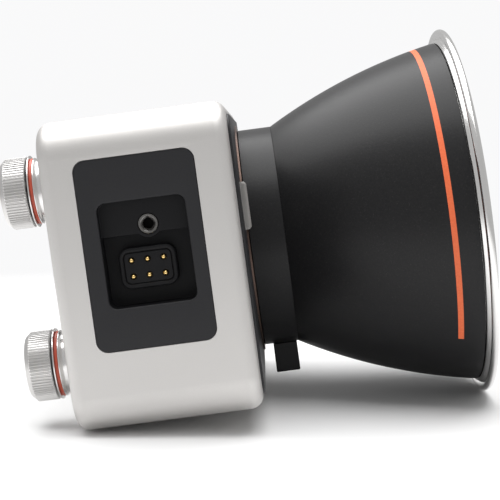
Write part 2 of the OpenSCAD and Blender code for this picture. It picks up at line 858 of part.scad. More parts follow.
module driver_capacitors() {
    color([0.15, 0.2, 0.4]) for (z = [-18, 0, 18])
        rod_y(driver_y - 8, driver_y, 3, socket_x + 6, z);
}

module usb_c_socket() {
    color([0.75, 0.75, 0.76]) slab_y(driver_y + driver_t, end_y - 0.2) difference() {
        centred_rect(socket_x, socket_z, 8.9, 3.2, 1.55);
        centred_rect(socket_x, socket_z, 8.3, 2.6, 1.25);
    }
    color([0.1, 0.1, 0.1]) block(socket_x - 3.3, socket_x + 3.3, driver_y + driver_t, end_y - 1.2,
                                 socket_z - 0.35, socket_z + 0.35);
    color([0.1, 0.1, 0.1]) slab_y(driver_y + driver_t, driver_y + driver_t + 1)
        centred_rect(socket_x, socket_z, 8.6, 2.9, 1.3);
}

module dc_socket() {
    color([0.1, 0.1, 0.1]) difference() {
        union() {
            block(socket_x - dc_side / 2, socket_x + dc_side / 2, driver_y + driver_t, end_y - wall,
                  -socket_z - dc_side / 2, -socket_z + dc_side / 2);
            rod_y(end_y - wall - 0.01, end_y - 0.2, dc_bore + 0.5, socket_x, -socket_z);
        }
        rod_y(driver_y + driver_t + 2, end_y + cut, dc_bore, socket_x, -socket_z);
    }
    color([0.8, 0.8, 0.8]) rod_y(driver_y + driver_t + 1, end_y - 2, 1, socket_x, -socket_z);
}

// ---- Reflector ----

module reflector_collar() {
    spigot_r = bayonet_r - run_fit;
    color([0.1, 0.1, 0.105]) difference() {
        union() {
            turned([[aperture_r, groove_x + 0.5], [spigot_r, groove_x + 0.5], [spigot_r, 0.1],
                    [neck_r, 0.1], [neck_r, neck_len], [sleeve_r + 0.05, neck_len],
                    [sleeve_r + 0.05, 2.7], [aperture_r, 2.7]]);
            for (a = lugs)
                ring_sector(groove_x + 0.5, -lip_t - 0.3, spigot_r - 0.5, groove_r - 0.3, a, lug_angle);
        }
        ring_sector(-cut / 2, 1.8, latch_pin_at - latch_pin_r - 0.25, latch_pin_at + latch_pin_r + 0.25,
                    latch_angle - twist / 2, twist + 8);
        reflector_screw_positions() {
            rod_x(-cut, 3, 0.95);
            taper_x(0, 0.9, 1.8, 0.95);
        }
    }
}

module reflector_screw_positions() {
    for (a = [60, 220, 300]) at_polar(latch_pin_at, a) children();
}

module reflector_screws() {
    color([0.3, 0.3, 0.32]) reflector_screw_positions() {
        taper_x(0.15, 0.9, 1.6, 0.85);
        rod_x(0.9, 4, 0.75);
    }
}

module reflector_housing() {
    outer = arc_points([neck_r, neck_len], [cone_r, cone_len], cone_bow, arc_steps);
    inner = arc_points([sleeve_r - 1.2, neck_len], [cone_r - cone_wall, cone_len], cone_bow, arc_steps);
    color([0.1, 0.1, 0.105]) difference() {
        turned(concat([[sleeve_r, neck_len]], outer, reversed(inner),
                      [[sleeve_r - 1.2, 4.2], [throat_r + 1, 4.2], [throat_r + 1, 2.7], [sleeve_r, 2.7]]));
        reflector_screw_positions() rod_x(2, 4.1, boss_hole);
    }
}

module reflector_liner() {
    inside = arc_points([throat_r - liner_wall, throat_x], [liner_end_r - liner_wall, liner_end_x],
                        liner_bow, arc_steps);
    outside = arc_points([throat_r, throat_x], [liner_end_r, liner_end_x], liner_bow, arc_steps);
    roll_r = 0.6;
    color([0.85, 0.85, 0.86]) {
        turned(concat(outside, [[cone_r, cone_len + 0.1], [rim_r - 1.2, cone_len + 1.1],
                                [rim_r - roll_r, cone_len + 1.9], [rim_r - roll_r, cone_len + 2.9],
                                [rim_r - 1.6, cone_len + 2.4], [cone_r - 0.2, cone_len + 1.2]],
                      reversed(inside)));
        rotate([0, 90, 0]) rotate_extrude() translate([rim_r - roll_r, cone_len + 2.4]) circle(roll_r, $fn = 24);
    }
}

module reflector_tab() {
    color([0.06, 0.06, 0.065]) difference() {
        slab_x(tab_x, tab_x + tab_w)
            round_rect(-tab_depth / 2, tab_depth / 2, -neck_r - tab_out, -neck_r + 1, 0.5);
        rod_x(0, neck_len + cut, neck_r + 0.02);
    }
}

body_shell();
front_plate();
front_trim_ring();
bayonet_ring();
bayonet_screws();
front_plate_screws();
cover_glass();
led_holder();
led_emitter();
led_board();
led_screws();
heat_sink();
heat_sink_posts();
heat_sink_screws();
fan_frame();
fan_stator();
fan_rotor();
fan_screws();
rear_grille();
latch_button();
latch_pin_plate();
latch_spring();
latch_bracket();
dock_plate();
dock_cup();
dock_thread_insert();
contact_block();
contact_collar();
contact_pins();
contact_board();
knob_collar(1);  // knob_collar_upper
knob_collar(-1);  // knob_collar_lower
knob_ring(1);  // knob_ring_upper
knob_ring(-1);  // knob_ring_lower
knob(1);  // knob_upper
knob(-1);  // knob_lower
encoder(1);  // encoder_upper
encoder(-1);  // encoder_lower
encoder_shaft(1);  // encoder_shaft_upper
encoder_shaft(-1);  // encoder_shaft_lower
encoder_plunger(1);  // encoder_plunger_upper
encoder_plunger(-1);  // encoder_plunger_lower
control_board();
control_board_screws();
display_glass();
display_module();
power_button();
power_switch();
driver_board();
driver_inductors();
driver_capacitors();
usb_c_socket();
dc_socket();
reflector_collar();
reflector_housing();
reflector_liner();
reflector_tab();
reflector_screws();
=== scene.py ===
# %% [markdown]
# # A palm-size LED monolight with its twist-on reflector
# The light is a silver metal box that fits in a hand. A black cone with a polished rim twists on to
# its front, two ridged dials stand on its back, and a dark dock with spring contacts sits in its side.
# This script dresses the imported model of that light: it starts from the frame and gives each piece the
# surface that the real one has.

# %% Load the frame
import json
import math

import bmesh
import bpy
import numpy as np
from mathutils import Matrix, Vector

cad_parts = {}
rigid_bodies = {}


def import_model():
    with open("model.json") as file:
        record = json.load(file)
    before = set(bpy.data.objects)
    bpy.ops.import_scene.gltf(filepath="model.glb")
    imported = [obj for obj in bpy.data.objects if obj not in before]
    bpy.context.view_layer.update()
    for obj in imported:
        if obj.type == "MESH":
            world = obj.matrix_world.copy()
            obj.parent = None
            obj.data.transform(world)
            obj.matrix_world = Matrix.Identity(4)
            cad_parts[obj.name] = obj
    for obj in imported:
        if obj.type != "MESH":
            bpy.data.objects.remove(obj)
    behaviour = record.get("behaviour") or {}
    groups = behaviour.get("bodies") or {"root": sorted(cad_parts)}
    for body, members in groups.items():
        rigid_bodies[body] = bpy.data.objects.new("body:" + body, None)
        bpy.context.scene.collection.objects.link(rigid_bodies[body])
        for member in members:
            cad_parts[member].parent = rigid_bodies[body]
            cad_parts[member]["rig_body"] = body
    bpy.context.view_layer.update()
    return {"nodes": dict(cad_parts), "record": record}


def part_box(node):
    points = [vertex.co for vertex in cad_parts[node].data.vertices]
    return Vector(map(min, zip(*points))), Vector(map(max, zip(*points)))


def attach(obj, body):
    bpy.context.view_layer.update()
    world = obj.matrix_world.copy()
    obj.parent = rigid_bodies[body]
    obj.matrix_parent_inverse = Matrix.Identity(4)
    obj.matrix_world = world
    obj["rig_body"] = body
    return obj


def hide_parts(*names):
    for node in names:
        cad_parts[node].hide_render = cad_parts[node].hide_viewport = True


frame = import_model()
nodes = frame["nodes"]
slot_of = {part["node"]: part["material_slot"] for part in frame["record"]["subparts"]}
MM = 0.001

# %% [markdown]
# ## Camera
# The lens is long and the camera stands close to level with the light, so the round rim shows as a
# thin ellipse. The light rests on the back edge of its box and on the rim, which tips its front up.
# The frame keeps the box level, so here the camera rolls instead, by that same angle.

# %% Camera
TIP = math.radians(7.565)
target = Vector((-0.79, 0, -3.36)) * MM
place = Vector((5.8, -376.42, 24.56)) * MM


def looking(place, target, roll):
    """Camera matrix: its back points away from the target, its right hand is level, then turned by roll."""
    forward = (target - place).normalized()
    level = forward.cross(Vector((0, 0, 1))).normalized()
    right = level * math.cos(roll) + level.cross(forward) * math.sin(roll)
    up = right.cross(forward)
    turn = Matrix((right, up, -forward)).transposed().to_4x4()
    return Matrix.Translation(place) @ turn


camera = bpy.data.objects.new("camera", bpy.data.cameras.new("camera"))
camera.data.sensor_width = 36
camera.data.lens = 96.85
camera.data.clip_start = 0.01
camera.matrix_world = looking(place, target, -TIP)
bpy.context.scene.collection.objects.link(camera)
bpy.context.scene.camera = camera
print("camera", round((place - target).length / MM), "mm away, lens", camera.data.lens)

# %% [markdown]
# ## Building surfaces from grids
# Every new piece is a grid of points worked out with numpy in one go: a profile turned round an axis,
# or a stack of closed outlines. The grid becomes a mesh, its doubled points are merged so that seams
# and poles close, and its faces are turned outwards. Lengths below are in millimetres.

# %% Grids to meshes


def solid(name, points, closed=True):
    """A mesh through a grid of points (rows, columns, 3) in mm; columns always close into a loop.
    With closed, the last row also joins the first, which makes a shell with no open edge."""
    rows, columns = points.shape[:2]
    row = np.arange(rows if closed else rows - 1)[:, None]
    column = np.arange(columns)[None, :]
    here, there = row * columns, (row + 1) % rows * columns
    after = (column + 1) % columns
    faces = np.stack([here + column, here + after, there + after, there + column], -1).reshape(-1, 4)
    mesh = bpy.data.meshes.new(name)
    mesh.from_pydata((points.reshape(-1, 3) * MM).tolist(), [], faces.tolist())
    return cleaned(mesh)


def cleaned(mesh, flat=0.0, recalculate=True):
    """Merges doubled points, joins triangles that lie in one plane, and turns the faces outwards."""
    work = bmesh.new()
    work.from_mesh(mesh)
    bmesh.ops.remove_doubles(work, verts=work.verts, dist=2e-6)
    bmesh.ops.dissolve_degenerate(work, dist=1e-6, edges=work.edges)
    if flat:
        bmesh.ops.dissolve_limit(work, angle_limit=flat, verts=work.verts, edges=work.edges)
    if recalculate:
        bmesh.ops.recalc_face_normals(work, faces=work.faces)
    work.to_mesh(mesh)
    work.free()
    return mesh


def rounded(corners, radii, steps=5):
    """A polyline with each corner replaced by an arc: the arc is the quadratic curve that leaves the
    corner's two sides at the given distance from it, so a distance of 0 keeps the corner sharp."""
    corners = np.asarray(corners, float)
    radii = np.broadcast_to(radii, len(corners))
    before, after = np.roll(corners, 1, 0) - corners, np.roll(corners, -1, 0) - corners
    reach = [np.minimum(radii, 0.49 * np.linalg.norm(side, axis=1))[:, None] for side in (before, after)]
    start = corners + before / np.maximum(np.linalg.norm(before, axis=1), 1e-9)[:, None] * reach[0]
    end = corners + after / np.maximum(np.linalg.norm(after, axis=1), 1e-9)[:, None] * reach[1]
    t = np.linspace(0, 1, steps)[None, :, None]
    curve = (1 - t) ** 2 * start[:, None] + 2 * t * (1 - t) * corners[:, None] + t ** 2 * end[:, None]
    return curve.reshape(-1, 2)


def turned(profile, columns=160, centre=(0, 0), axis="x"):
    """A profile of (along, radius) turned round an axis: along + radius * (cos, sin) across it."""
    profile = np.asarray(profile, float)
    angle = np.arange(columns) * 2 * np.pi / columns
    along = np.repeat(profile[:, :1], columns, 1)
    first = centre[0] + profile[:, 1:] * np.cos(angle)
    second = centre[1] + profile[:, 1:] * np.sin(angle)
    order = {"x": (along, first, second), "y": (first, along, second)}[axis]
    return np.stack(order, -1)


def outline(x, z, width, height, radius, per_corner=10):
    """A rectangle with round corners, seen from the side: each corner is a quarter of a circle."""
    corner = np.repeat(np.arange(4), per_corner)
    angle = (corner + np.tile(np.linspace(0, 1, per_corner), 4)) * np.pi / 2
    sign_x, sign_z = np.array([1, -1, -1, 1])[corner], np.array([1, 1, -1, -1])[corner]
    return np.stack([x + sign_x * (width / 2 - radius) + radius * np.cos(angle),
                     z + sign_z * (height / 2 - radius) + radius * np.sin(angle)], -1)


def at_depth(loop, y):
    """Places a flat outline at depth y behind the docking face."""
    return np.stack([loop[:, 0], np.full(len(loop), float(y)), loop[:, 1]], -1)


def piece(name, mesh, sharp=35):
    """An object at the origin with smooth faces, and hard edges only where two faces meet steeply."""
    mesh.shade_smooth()
    mesh.set_sharp_from_angle(angle=math.radians(sharp))
    made = bpy.data.objects.new(name, mesh)
    bpy.context.scene.collection.objects.link(made)
    return made


def box_mm(node):
    """A CAD node's lowest and highest corners, in millimetres."""
    low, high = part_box(node)
    return np.array(low) / MM, np.array(high) / MM


# %% [markdown]
# ## A pen for shader nodes
# A material is a web of nodes. Written by hand it is long, so two small classes do the wiring.
# `Value` wraps a number that flows between nodes, and arithmetic on it adds Math nodes. `Finish` is one
# material: its `node` method makes any node, with the settings first and then the sockets.

# %% Shader arithmetic


class Value:
    """A number that flows between shader nodes. Arithmetic on it adds Math nodes."""

    def __init__(self, finish, socket):
        self.finish, self.socket = finish, socket

    def pair(self, operation, first, second=0.0, third=0.0):
        made = self.finish.node("ShaderNodeMath", {"operation": operation}, {0: first, 1: second, 2: third})
        return Value(self.finish, made.outputs[0])

    def __add__(self, other):
        return self.pair("ADD", self, other)

    def __sub__(self, other):
        return self.pair("SUBTRACT", self, other)

    def __rsub__(self, other):
        return self.pair("SUBTRACT", other, self)

    def __mul__(self, other):
        return self.pair("MULTIPLY", self, other)

    def __truediv__(self, other):
        return self.pair("DIVIDE", self, other)

    def __gt__(self, other):
        return self.pair("GREATER_THAN", self, other)

    def __lt__(self, other):
        return self.pair("LESS_THAN", self, other)

    def __pow__(self, other):
        return self.pair("POWER", self, other)

    __radd__, __rmul__ = __add__, __mul__

    def apply(self, operation, *others):
        return self.pair(operation, self, *others)


class Finish:
    """One material: a Principled shader, and a pen that adds the nodes which feed it."""

    made = {}

    def __init__(self, name, colour, roughness, metallic=0.0, **constants):
        self.material = bpy.data.materials.new(name)
        self.material.use_nodes = True
        self.tree = self.material.node_tree
        self.shader = self.tree.nodes["Principled BSDF"]
        self.colour = (*colour, 1.0)
        self.give("Base Color", self.colour)
        self.give("Roughness", roughness)
        self.give("Metallic", metallic)
        for socket, value in constants.items():
            self.give(socket.replace("_", " "), value)
        self.material.diffuse_color = self.colour
        Finish.made[name] = self

    def node(self, kind, settings=None, sockets=None):
        """Any node: its settings are set first, then a value or a link goes into each socket."""
        made = self.tree.nodes.new(kind)
        for name, value in (settings or {}).items():
            if name == "stops":
                for extra in range(len(value) - 2):
                    made.color_ramp.elements.new(0.5)
                for element, (position, colour) in zip(made.color_ramp.elements, value):
                    element.position, element.color = position, colour
            else:
                setattr(made, name, value)
        for name, value in (sockets or {}).items():
            self.link(value, made.inputs[name])
        return made

    def link(self, value, socket):
        source = value.socket if isinstance(value, Value) else value
        if isinstance(source, bpy.types.NodeSocket):
            self.tree.links.new(source, socket)
        else:
            socket.default_value = value

    def give(self, socket, value):
        self.link(value, self.shader.inputs[socket])
        return self

    def places(self, stretch=(1, 1, 1), centre=(0, 0, 0)):
        """Object coordinates in millimetres, moved to a centre and stretched along each axis."""
        where = self.node("ShaderNodeTexCoord").outputs["Object"]
        scale = tuple(1 / MM * s for s in stretch)
        shift = tuple(-c * s for c, s in zip(centre, stretch))
        return self.node("ShaderNodeMapping", {}, {"Vector": where, "Scale": scale, "Location": shift}).outputs[0]

    def axes(self, centre=(0, 0, 0)):
        """The three coordinates of a point in millimetres, from a centre."""
        parts = self.node("ShaderNodeSeparateXYZ", {}, {0: self.places(centre=centre)})
        return [Value(self, part) for part in parts.outputs]

    def noise(self, size, detail=2.0, stretch=(1, 1, 1), contrast=1.0, roughness=0.5):
        """Soft noise from 0 to 1, whose lumps are about size mm across."""
        made = self.node("ShaderNodeTexNoise", {}, {
            "Vector": self.places(stretch), "Scale": 1 / size, "Detail": detail, "Roughness": roughness})
        return (Value(self, made.outputs["Fac"]) - 0.5) * contrast + 0.5

    def cells(self, size, feature="F1", stretch=(1, 1, 1)):
        """Distance inside irregular cells that are about size mm across."""
        made = self.node("ShaderNodeTexVoronoi", {"feature": feature}, {
            "Vector": self.places(stretch), "Scale": 1 / size})
        return Value(self, made.outputs["Distance"])

    def mix(self, amount, first, second):
        """A colour between two colours."""
        made = self.node("ShaderNodeMix", {"data_type": "RGBA", "clamp_factor": True}, {
            0: amount, 6: first if not isinstance(first, tuple) else (*first[:3], 1.0),
            7: second if not isinstance(second, tuple) else (*second[:3], 1.0)})
        return made.outputs[2]

    def tint(self, amount, darker, lighter=1.0, over=None):
        """The base colour, varied between a darker and a lighter share of itself."""
        low, high = ([c * share for c in self.colour[:3]] for share in (darker, lighter))
        return self.give("Base Color", self.mix(amount, tuple(low), tuple(high)) if over is None
                         else self.mix(over[0], self.mix(amount, tuple(low), tuple(high)), over[1]))

    def relief(self, height, depth, strength=1.0):
        """Raises the surface by a height from 0 to 1, depth mm high."""
        bump = self.node("ShaderNodeBump", {}, {"Height": height, "Strength": strength, "Distance": depth * MM})
        return self.give("Normal", bump.outputs["Normal"])


# %% [markdown]
# ## Metal and coatings
# The shell is aluminium, blasted with fine beads and anodised: it has no shine of its own, only a
# fine grain that scatters light. The cone and the mount wear a black coat with a satin sheen and a
# slight orange peel. Both come from noise at the grain's real size: a colour that hardly varies, a
# roughness that varies a little, and a bump a few microns high.

# %% Coated and blasted finishes


def blasted(name, colour, roughness, grain=0.22, depth=0.012, metallic=1.0, **constants):
    """Bead-blasted metal: fine noise of one grain size moves colour, roughness and height together."""
    finish = Finish(name, colour, roughness, metallic, **constants)
    fine = finish.noise(grain, 3, contrast=1.6)
    broad = finish.noise(18, 2, contrast=0.8)
    finish.tint(fine * 0.7 + broad * 0.3, 0.94, 1.05)
    finish.give("Roughness", fine * 0.10 + broad * 0.04 + (roughness - 0.07))
    return finish.relief(fine, depth)


def coated(name, colour, roughness, grain=0.35, depth=0.012, speck=0.5, **constants):
    """Powder or paint over metal: orange peel, and a few specks that catch the light."""
    finish = Finish(name, colour, roughness, **constants)
    peel = finish.noise(grain, 3, contrast=1.5)
    dust = finish.noise(grain * 0.45, 2, contrast=1.0) > 0.72
    finish.tint(dust * speck + peel * 0.25, 0.85, 1.9)
    finish.give("Roughness", peel * 0.12 + (roughness - 0.06) + dust * 0.05)
    return finish.relief(peel, depth)


def moulded(name, colour, roughness, grain=0.3, depth=0.01, **constants):
    """Moulded plastic: the mould's fine spark texture, and faint flow marks across the piece."""
    finish = Finish(name, colour, roughness, **constants)
    spark = finish.cells(grain, "SMOOTH_F1")
    flow = finish.noise(6, 2, (1, 0.4, 1))
    finish.tint(flow * 0.6 + spark * 0.4, 0.85, 1.2)
    finish.give("Roughness", spark * 0.15 + (roughness - 0.06))
    return finish.relief(spark, depth)


blasted("shell_silver", (0.62, 0.605, 0.59), 0.47, metallic=0.75)
coated("plate_black", (0.020, 0.020, 0.022), 0.42, Specular_IOR_Level=0.25)
blasted("trim_bronze", (0.13, 0.090, 0.075), 0.34)
coated("mount_black", (0.014, 0.014, 0.015), 0.38, Specular_IOR_Level=0.25)
coated("dock_black", (0.020, 0.020, 0.022), 0.50, grain=0.25, depth=0.008, Specular_IOR_Level=0.25)
moulded("cup_black", (0.006, 0.006, 0.007), 0.52, Specular_IOR_Level=0.2)
moulded("tab_black", (0.008, 0.008, 0.009), 0.42, Specular_IOR_Level=0.25)
moulded("button_black", (0.018, 0.018, 0.020), 0.45)
moulded("latch_grey", (0.26, 0.25, 0.24), 0.45)
moulded("fan_black", (0.016, 0.016, 0.018), 0.40, grain=0.5)
moulded("encoder_grey", (0.09, 0.09, 0.10), 0.45)
moulded("plunger_white", (0.75, 0.75, 0.73), 0.40)
moulded("holder_white", (0.70, 0.70, 0.68), 0.42)
moulded("component_dark", (0.035, 0.035, 0.04), 0.38)
print(len(Finish.made), "coated, blasted and moulded finishes")

# %% [markdown]
# ## Turned and plated metal
# A part that came off a lathe keeps fine rings round its axis. They are noise that changes only with
# the distance from that axis and along it, never round it. Screws, the threaded insert, the dial
# collars and the rolled rim all have them, at different depths.

# %% Turned finishes


def lathed(name, colour, roughness, centre=(0, 0, 0), line=0.12, depth=0.004, axis="x", **constants):
    """Turned metal: rings of line mm round an axis, from noise on (distance from the axis, place along it)."""
    finish = Finish(name, colour, roughness, 1.0, **constants)
    x, y, z = finish.axes(centre)
    along, across = (x, y) if axis == "x" else (y, x)
    distance = (across * across + z * z) ** 0.5
    spot = finish.node("ShaderNodeCombineXYZ", {}, {0: distance, 1: along})
    rings = finish.node("ShaderNodeTexNoise", {}, {"Vector": spot.outputs[0], "Scale": 1 / line, "Detail": 2.0})
    rings = Value(finish, rings.outputs["Fac"])
    finish.tint(rings, 0.86, 1.08)
    finish.give("Roughness", rings * 0.12 + finish.noise(3, 2) * 0.05 + (roughness - 0.08))
    return finish.relief(rings, depth)


lathed("reflector_silver", (0.80, 0.79, 0.78), 0.17, line=0.5, depth=0.006)
lathed("insert_steel", (0.17, 0.165, 0.16), 0.26, (-22.5, 0, 10.6), axis="y")
lathed("screw_steel", (0.60, 0.60, 0.61), 0.28)
lathed("screw_black", (0.050, 0.050, 0.054), 0.30)
blasted("heat_sink_metal", (0.66, 0.66, 0.67), 0.36, grain=0.4)
blasted("socket_steel", (0.62, 0.62, 0.62), 0.26, grain=0.6, depth=0.004)
blasted("contact_gold", (0.86, 0.60, 0.24), 0.20, grain=0.15, depth=0.003)
blasted("dial_silver", (0.60, 0.59, 0.58), 0.34, grain=0.16, depth=0.008, metallic=0.85)
blasted("dial_collar", (0.74, 0.73, 0.72), 0.20, grain=0.12, depth=0.003)
moulded("ring_orange", (0.56, 0.085, 0.045), 0.38)
print(len(Finish.made), "finishes so far")

# %% [markdown]
# ## The cone's coat and its stripe
# The cone is pressed aluminium with a satin black coat. Close to the rim runs one orange line, which
# stops short of the ground side so that it has two square ends. The line is part of the coat, so a
# mask makes it: a band along the axis, and the angle round the axis, compared with its two ends.

# %% Cone coat
cone = Finish("reflector_black", (0.012, 0.012, 0.013), 0.36, Specular_IOR_Level=0.22)
STRIPE_FROM, STRIPE_TO, STRIPE_END = 49.8, 51.2, math.radians(42)
x, y, z = cone.axes()
peel = cone.noise(0.5, 3, contrast=1.5)
dust = cone.noise(0.3, 2) > 0.66
ragged = cone.noise(0.25, 2) * 0.06
above_end = z.apply("ARCTAN2", (y * y) ** 0.5) > -STRIPE_END
stripe = (x + ragged > STRIPE_FROM) * (x + ragged < STRIPE_TO) * above_end
coat = cone.mix(dust * 0.55 + peel * 0.3, (0.009, 0.009, 0.010), (0.030, 0.029, 0.028))
paint = cone.mix(peel, (0.72, 0.135, 0.050), (0.84, 0.185, 0.075))
cone.give("Base Color", cone.mix(stripe, coat, paint))
cone.give("Roughness", peel * 0.10 + 0.31 + stripe * 0.08)
cone.relief(peel + stripe * 0.6, 0.012)
print("stripe", round(STRIPE_TO - STRIPE_FROM, 1), "mm wide,", 180 + 2 * 42, "degrees long")

# %% [markdown]
# ## Glass, lamp and boards
# Behind the front glass is the lamp: a yellow disc of phosphor over a grid of tiny diodes, on a copper
# board. The boards inside are green with copper tracks. None of this shows from the side, but it does
# through the glass and the vents.

# %% Glass, phosphor, boards and screen
glass = Finish("glass_clear", (0.96, 0.98, 0.98), 0.03, Transmission_Weight=1.0, IOR=1.5)
glass.give("Roughness", glass.noise(2, 2) * 0.03 + 0.01)

phosphor = Finish("phosphor", (0.86, 0.62, 0.10), 0.55)
x, y, z = phosphor.axes()
die = ((y / 1.6).apply("FRACT") - 0.5).apply("ABSOLUTE").pair(
    "MAXIMUM", ((y / 1.6).apply("FRACT") - 0.5).apply("ABSOLUTE"), ((z / 1.6).apply("FRACT") - 0.5).apply("ABSOLUTE"))
phosphor.tint(die * 1.6 + phosphor.noise(0.4) * 0.2, 1.08, 0.80)
phosphor.relief(phosphor.noise(0.3), 0.01)

copper = Finish("copper_board", (0.72, 0.36, 0.20), 0.35, 0.9)
copper.tint(copper.noise(1.2, 3, contrast=1.6), 0.8, 1.15)
copper.relief(copper.noise(0.2), 0.004)

board = Finish("board_green", (0.012, 0.095, 0.045), 0.34)
track = board.cells(2.2, "DISTANCE_TO_EDGE", (1, 0.55, 1)) < 0.07
pad = board.cells(1.7) < 0.16
board.give("Base Color", board.mix(pad, board.mix(track, (0.010, 0.085, 0.040), (0.02, 0.17, 0.075)), (0.66, 0.60, 0.50)))
board.give("Metallic", pad * 0.9)
board.give("Roughness", pad * -0.08 + board.noise(1, 2) * 0.08 + 0.30)
board.relief(track * 0.6 + pad, 0.03)

screen = Finish("display_black", (0.006, 0.006, 0.008), 0.09, Coat_Weight=0.4)
x, y, z = screen.axes((0, -50, 0))
level = (z < 5.2) * (z > 4.0) * (y.apply("ABSOLUTE") < 7)
lower = (z < -4.0) * (z > -5.2) * (y.apply("ABSOLUTE") < 7)
filled = (y + 2.5 > 0) * level + (y - 3.0 > 0) * lower
tick = ((y / 1.4).apply("FRACT") < 0.72) * (level + lower)
screen.give("Emission Color", screen.mix(tick * (filled * 0.8 + 0.2), (0, 0, 0), (0.85, 0.90, 1.0)))
screen.shader.inputs["Emission Strength"].default_value = 0.35
screen.give("Roughness", screen.noise(4, 2) * 0.05 + 0.06)
print(len(Finish.made), "finishes in all;", "without one:", sorted(set(slot_of.values()) - set(Finish.made)))

# %% [markdown]
# ## Dressing a node
# A CAD node is loose triangles, so its round faces would show as facets. Where a node's shape is right,
# it is copied, merged, joined into whole faces, and given smooth shading with a small broken edge,
# because no machined edge is razor sharp: the edge is what catches the light. A weighted normal keeps
# the flat faces flat.

# %% Pieces that stand for nodes


def stand_in(made, *names):
    """Rides a piece on its node's body, hides the node, and takes the finish of the node's slot."""
    slot = slot_of[names[0]]
    made.data.materials.clear()
    made.data.materials.append(Finish.made[slot].material)
    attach(made, nodes[names[0]]["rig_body"])
    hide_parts(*names)
    return made


def softened(node, edge=0.0, sharp=35, flat=0.2, segments=2):
    """A copy of a node: doubles merged, flat faces joined, edges broken by edge mm, then smoothed."""
    mesh = cleaned(nodes[node].data.copy(), flat=math.radians(flat), recalculate=False)
    mesh.name = node + "_surface"
    made = piece(node + "_surface", mesh, sharp)
    if edge:
        bevel = made.modifiers.new("edge", "BEVEL")
        bevel.width, bevel.segments, bevel.limit_method = edge * MM, segments, "ANGLE"
        bevel.angle_limit = math.radians(40)
        bevel.use_clamp_overlap = False
    weighted = made.modifiers.new("flat", "WEIGHTED_NORMAL")
    weighted.keep_sharp, weighted.weight = True, 100
    return stand_in(made, node)


shell = softened("body_shell", sharp=32)
print("shell:", len(shell.data.polygons), "faces")
softened("front_plate", 0.25)
softened("front_trim_ring", 0.12)
softened("bayonet_ring", 0.12)
softened("latch_button", 0.0, sharp=50)
softened("dock_cup", 0.18, segments=3)
softened("reflector_collar", 0.15)
softened("reflector_tab", 0.3)
softened("rear_grille", 0.2)
softened("display_glass", 0.15)
softened("power_button", 0.25)
softened("cover_glass", 0.15)
softened("led_holder", 0.2)

# %% [markdown]
# ## The cone
# The cone is one pressed wall. Outside it bows out a little between the neck and the rim, so it isn't
# a straight taper: the side is an arc of a circle. The same arc, moved inwards by the wall, is its
# inside. The profile is turned round the optical axis.

# %% Cone


def arc(start, end, bow, steps=48):
    """Points on the circle through start and end whose middle stands bow off the straight line."""
    start, end = np.array(start, float), np.array(end, float)
    chord = np.linalg.norm(end - start)
    radius = (chord ** 2 / 4 + bow ** 2) / (2 * bow)
    along = (end - start) / chord
    out = np.array([-along[1], along[0]]) if along[0] > 0 else np.array([along[1], -along[0]])
    centre = (start + end) / 2 - out * (radius - bow)
    turn = np.linspace(-1, 1, steps) * math.asin(chord / 2 / radius)
    return centre + radius * (np.cos(turn)[:, None] * out + np.sin(turn)[:, None] * along)


NECK_R, NECK_X, CONE_R, CONE_X, CONE_BOW, CONE_WALL = 30.1, 9.3, 46.9, 56.6, 2.1, 1.4
outer = arc((NECK_X, NECK_R), (CONE_X, CONE_R), CONE_BOW)
inner = arc((NECK_X, 27.6), (CONE_X, CONE_R - CONE_WALL), CONE_BOW)
lip = rounded([(CONE_X - 0.6, CONE_R - 0.2), (CONE_X, CONE_R), (CONE_X, CONE_R - CONE_WALL),
               (CONE_X - 0.6, CONE_R - CONE_WALL - 0.2)], [0, 0.35, 0.35, 0])[5:-5]
cone_profile = np.vstack([[[2.7, 28.8]], [[NECK_X, 28.8]], outer[:-1], lip, inner[-2::-1],
                          [[4.2, 27.6]], [[4.2, 25.6]], [[2.7, 25.6]]])
stand_in(piece("reflector_cone", solid("reflector_cone", turned(cone_profile, 256)), 25), "reflector_housing")
print("cone wall", CONE_WALL, "mm, widest radius", outer[:, 1].max().round(2))

# %% [markdown]
# ## The bright liner and its rolled rim
# Inside the cone sits a polished bowl. At the front its edge comes over the cone's end, flares out in a
# shallow cove, and is rolled back on itself, which makes the rim stiff and safe to hold. The profile is
# the bowl's inside, the roll as most of a circle, and the cove on the outside.

# %% Liner and rim
ROLL = 1.05
rim_x, rim_r = 59.6 - ROLL, 50.4 - ROLL
roll = np.stack([rim_x + ROLL * np.sin(np.linspace(2.6, -1.9, 30)), rim_r + ROLL * np.cos(np.linspace(2.6, -1.9, 30))], -1)
bowl_in = arc((4.4, 23.8), (56.9, 44.5), 2.2)
bowl_out = arc((4.4, 24.6), (56.9, 45.3), 2.2)
cove = rounded([(56.75, 45.4), (56.75, 47.15), (57.25, 47.5), (58.0, 47.9), (58.1, 48.3)], [0, 0.3, 0.4, 0.3, 0], 6)[6:-6]
flare = rounded([(57.0, 44.6), (57.7, 45.7), (58.8, 47.6)], [0, 0.9, 0], 7)[7:-7]
liner_profile = np.vstack([bowl_out, cove, roll[::-1], flare[::-1], bowl_in[::-1]])
stand_in(piece("reflector_bowl", solid("reflector_bowl", turned(liner_profile, 256)), 30), "reflector_liner")
print("rim reaches", liner_profile.max(0).round(2))

# %% [markdown]
# ## The dials
# A dial is a turned barrel with straight ridges all round, a smooth bevelled end and a dished face. Its
# radius is a function of the angle and the place along the axis: the barrel's profile, less the groove
# depth times a wave with one period for each ridge, where the wave fades out at both ends.

# %% Dials
RIDGES, GROOVE = 72, 0.27


